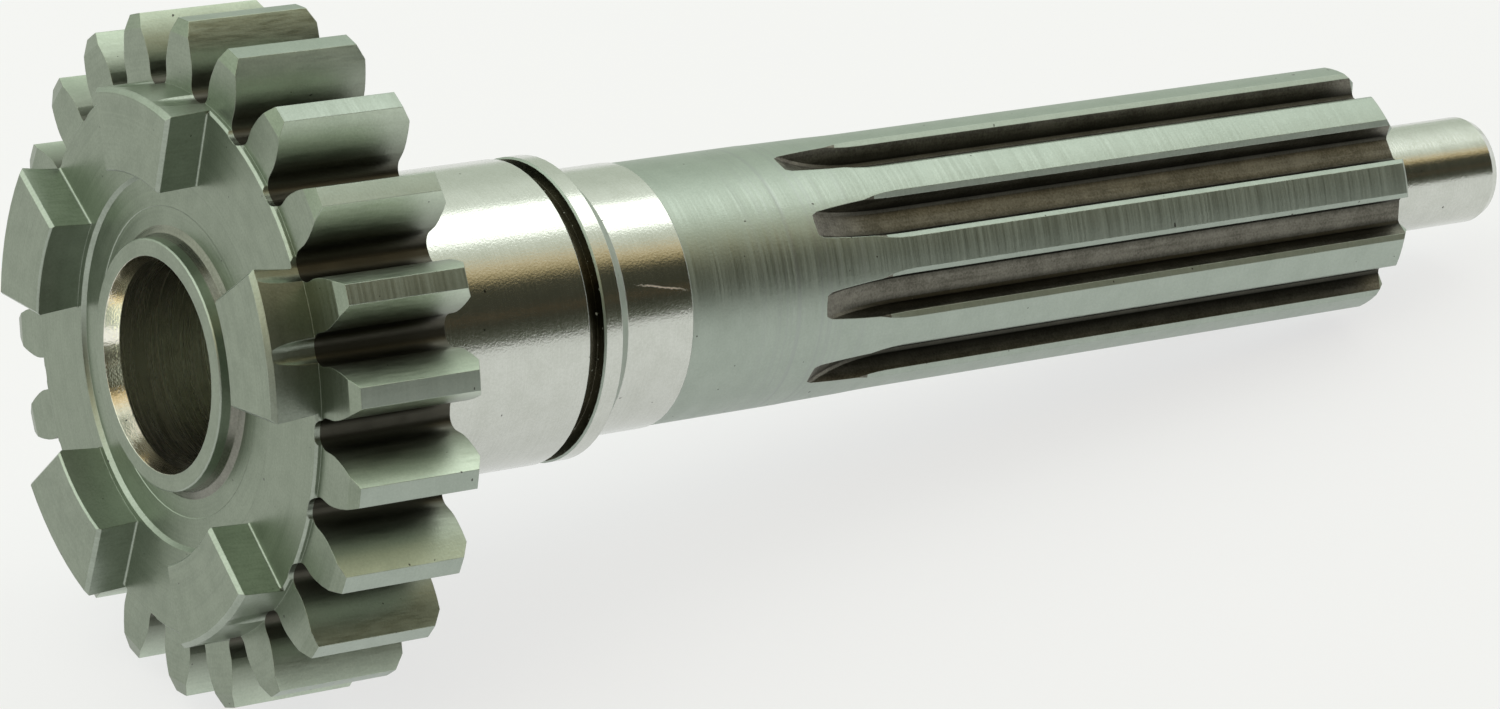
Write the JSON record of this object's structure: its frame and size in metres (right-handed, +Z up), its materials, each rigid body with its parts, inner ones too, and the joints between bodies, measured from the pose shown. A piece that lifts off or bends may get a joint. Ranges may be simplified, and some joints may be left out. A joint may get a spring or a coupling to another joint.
{
  "type": "transmission input shaft",
  "caption": "Steel gearbox input shaft with a spur gear and clutch dogs on one end, ground bearing seats, a long splined shank and a slim pilot tip.",
  "frame": {"origin": "middle of the footprint of the shaft lying on a bench, on the bench top", "axes": "+X along the shaft from the dogs to the pilot tip, as it lies on two gear teeth and its spline end; +Z up; the shaft's own axis drops 8.8 degrees towards the pilot tip"},
  "size_m": [0.1826, 0.072, 0.0728],
  "materials": {
    "machined_steel": "turned and hobbed satin steel, ground bright on the bearing seats and the pilot tip"
  },
  "bodies": {
    "root": {"input_shaft": "machined_steel"}
  },
  "joints": []
}
